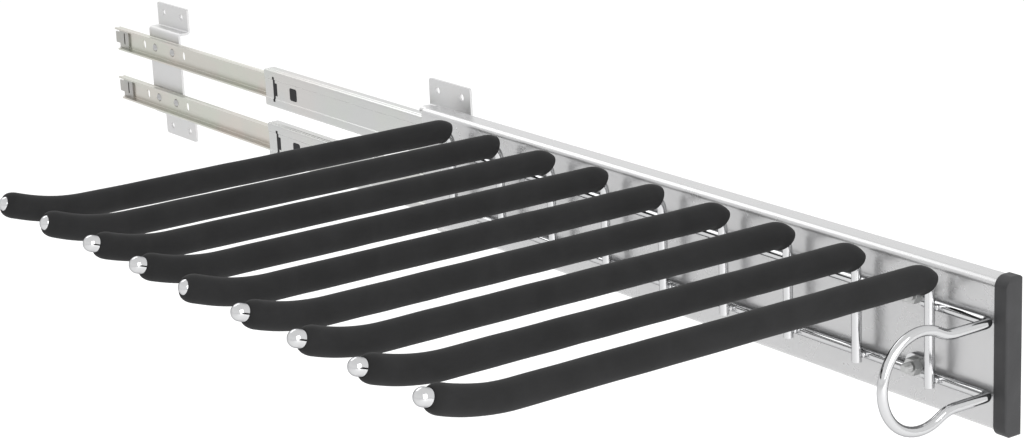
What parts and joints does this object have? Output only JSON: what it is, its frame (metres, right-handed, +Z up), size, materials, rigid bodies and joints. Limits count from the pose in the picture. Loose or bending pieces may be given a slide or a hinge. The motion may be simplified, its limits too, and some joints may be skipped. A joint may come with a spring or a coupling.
{
  "type": "pull-out trouser rack",
  "caption": "Side-mounted pull-out trouser rack: an aluminium rail with foam-sleeved chrome arms and a wire pull, on twin ball-bearing slides and steel wall brackets.",
  "frame": {"origin": "middle of the front bracket's four wall screw holes, on the wall's face", "axes": "+X out of the wardrobe along the slides, +Y into the side wall, +Z up; stored pulled out to its stop, as pictured"},
  "size_m": [0.9213, 0.3187, 0.0986],
  "materials": {
    "bracket_steel": "zinc-plated, satin",
    "zinc_steel": "yellow passivated zinc, faintly iridescent",
    "slide_steel": "blue-white zinc, smooth rolled sheet",
    "rivet_steel": "plated rivet heads",
    "slide_plastic": "black moulded plastic",
    "cage_steel": "thin plated sheet",
    "ball_steel": "polished balls",
    "rail_aluminium": "satin anodised",
    "rivet_aluminium": "satin, dressed flush",
    "cap_plastic": "dark grey moulded plastic",
    "chrome_wire": "polished chrome plating",
    "plated_steel": "bright zinc plating",
    "foam": "matt black foam rubber",
    "chrome_cap": "polished chrome plating"
  },
  "bodies": {
    "wall_brackets": {"rear_bracket": "bracket_steel", "front_bracket": "bracket_steel", "upper_fixed_member": "zinc_steel", "lower_fixed_member": "zinc_steel", "slide_rivets": "rivet_steel", "upper_rear_stop": "zinc_steel", "lower_rear_stop": "zinc_steel"},
    "upper_middle": {"upper_middle_member": "slide_steel", "upper_latch": "slide_plastic", "upper_buffer": "slide_plastic"},
    "lower_middle": {"lower_middle_member": "slide_steel", "lower_latch": "slide_plastic", "lower_buffer": "slide_plastic"},
    "upper_rear_bearing": {"upper_rear_cage": "cage_steel", "upper_rear_balls": "ball_steel"},
    "lower_rear_bearing": {"lower_rear_cage": "cage_steel", "lower_rear_balls": "ball_steel"},
    "upper_front_bearing": {"upper_front_cage": "cage_steel", "upper_front_balls": "ball_steel"},
    "lower_front_bearing": {"lower_front_cage": "cage_steel", "lower_front_balls": "ball_steel"},
    "arm_rail": {"rail": "rail_aluminium", "end_cap": "cap_plastic", "upper_rail_member": "slide_steel", "lower_rail_member": "slide_steel", "rail_rivets": "rivet_aluminium", "handle_frame": "chrome_wire", "frame_bolts": "plated_steel", "frame_washers": "plated_steel", "frame_nuts": "plated_steel", "arm_1_rod": "chrome_wire", "arm_1_sleeve": "foam", "arm_1_tip": "chrome_cap", "arm_2_rod": "chrome_wire", "arm_2_sleeve": "foam", "arm_2_tip": "chrome_cap", "arm_3_rod": "chrome_wire", "arm_3_sleeve": "foam", "arm_3_tip": "chrome_cap", "arm_4_rod": "chrome_wire", "arm_4_sleeve": "foam", "arm_4_tip": "chrome_cap", "arm_5_rod": "chrome_wire", "arm_5_sleeve": "foam", "arm_5_tip": "chrome_cap", "arm_6_rod": "chrome_wire", "arm_6_sleeve": "foam", "arm_6_tip": "chrome_cap", "arm_7_rod": "chrome_wire", "arm_7_sleeve": "foam", "arm_7_tip": "chrome_cap", "arm_8_rod": "chrome_wire", "arm_8_sleeve": "foam", "arm_8_tip": "chrome_cap", "arm_9_rod": "chrome_wire", "arm_9_sleeve": "foam", "arm_9_tip": "chrome_cap"}
  },
  "joints": [
    {"name": "middle_slide", "type": "slide", "parent": "wall_brackets", "child": "upper_middle", "axis": [1, 0, 0], "range_m": [-0.228, 0]},
    {"name": "lower_middle_slide", "type": "slide", "parent": "wall_brackets", "child": "lower_middle", "axis": [1, 0, 0], "range_m": [-0.228, 0]},
    {"name": "upper_rear_roll", "type": "slide", "parent": "wall_brackets", "child": "upper_rear_bearing", "axis": [1, 0, 0], "range_m": [-0.114, 0]},
    {"name": "lower_rear_roll", "type": "slide", "parent": "wall_brackets", "child": "lower_rear_bearing", "axis": [1, 0, 0], "range_m": [-0.114, 0]},
    {"name": "rail_slide", "type": "slide", "parent": "upper_middle", "child": "arm_rail", "axis": [1, 0, 0], "range_m": [-0.2, 0]},
    {"name": "upper_front_roll", "type": "slide", "parent": "upper_middle", "child": "upper_front_bearing", "axis": [1, 0, 0], "range_m": [-0.1, 0]},
    {"name": "lower_front_roll", "type": "slide", "parent": "lower_middle", "child": "lower_front_bearing", "axis": [1, 0, 0], "range_m": [-0.1, 0]}
  ],
  "couplings": [
    {"joint": "lower_middle_slide", "follows": "middle_slide", "ratio": 1},
    {"joint": "upper_rear_roll", "follows": "middle_slide", "ratio": 0.5},
    {"joint": "lower_rear_roll", "follows": "middle_slide", "ratio": 0.5},
    {"joint": "upper_front_roll", "follows": "rail_slide", "ratio": 0.5},
    {"joint": "lower_front_roll", "follows": "rail_slide", "ratio": 0.5}
  ]
}
